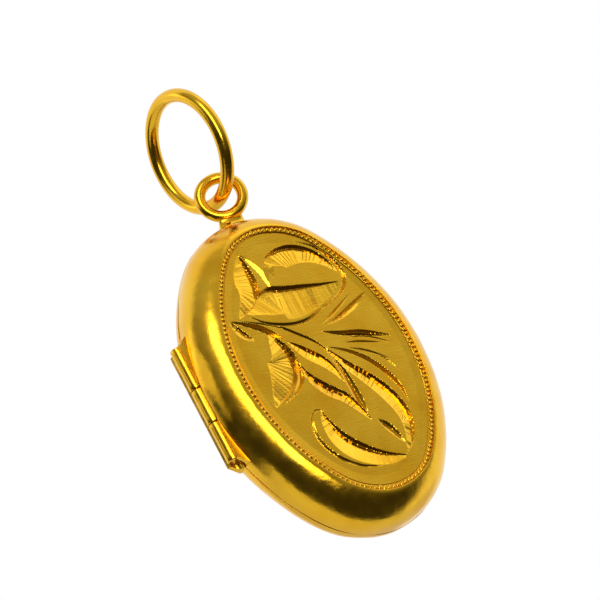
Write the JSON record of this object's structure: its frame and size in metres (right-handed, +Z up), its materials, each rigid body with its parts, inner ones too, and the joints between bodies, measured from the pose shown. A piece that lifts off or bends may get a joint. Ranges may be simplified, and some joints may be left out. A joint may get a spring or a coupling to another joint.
{
  "type": "locket",
  "caption": "Oval hinged locket with a rolled rim, beaded border, engraved front and small picture frames inside, hanging from a round jump ring.",
  "frame": {"origin": "centre of the jump ring", "axes": "+Z up the long axis through the ring, +X to the right seen from the engraved front, engraved front facing -Y, hinge on the -X side"},
  "size_m": [0.0157, 0.0082, 0.0312],
  "materials": {
    "rim_gold": "high polish, fine handling scratches",
    "panel_gold": "satin ground with engraved scrolls",
    "wire_gold": "beaded, bright on the crests",
    "hinge_gold": "drawn tube, filed and polished",
    "ring_gold": "polished wire",
    "inner_gold": "bright, little wear",
    "clear_film": "clear acetate",
    "photo_card": "blank matt card"
  },
  "bodies": {
    "ring": {"jump_ring": "ring_gold"},
    "back_half": {"back_rim": "rim_gold", "back_panel": "panel_gold", "back_border_wire": "wire_gold", "snap_lip": "inner_gold", "back_hinge_bearer": "hinge_gold", "upper_knuckle": "hinge_gold", "lower_knuckle": "hinge_gold", "hinge_pin": "hinge_gold", "hanging_loop": "ring_gold", "loop_post": "ring_gold", "back_photo_card": "photo_card", "back_photo_cover": "clear_film", "back_photo_frame": "inner_gold"},
    "front_half": {"front_rim": "rim_gold", "front_panel": "panel_gold", "front_border_wire": "wire_gold", "front_hinge_bearer": "hinge_gold", "middle_knuckle": "hinge_gold", "front_photo_card": "photo_card", "front_photo_cover": "clear_film", "front_photo_frame": "inner_gold"}
  },
  "joints": [
    {"name": "locket_swing", "type": "hinge", "parent": "ring", "child": "back_half", "pos_m": [0.00044, 0, -0.0036], "axis": [0, 1, 0], "range_deg": [-100, 100]},
    {"name": "cover_hinge", "type": "hinge", "parent": "back_half", "child": "front_half", "pos_m": [-0.00735, 0.00043, -0.01649], "axis": [0, 0, -1], "range_deg": [0, 140]}
  ]
}
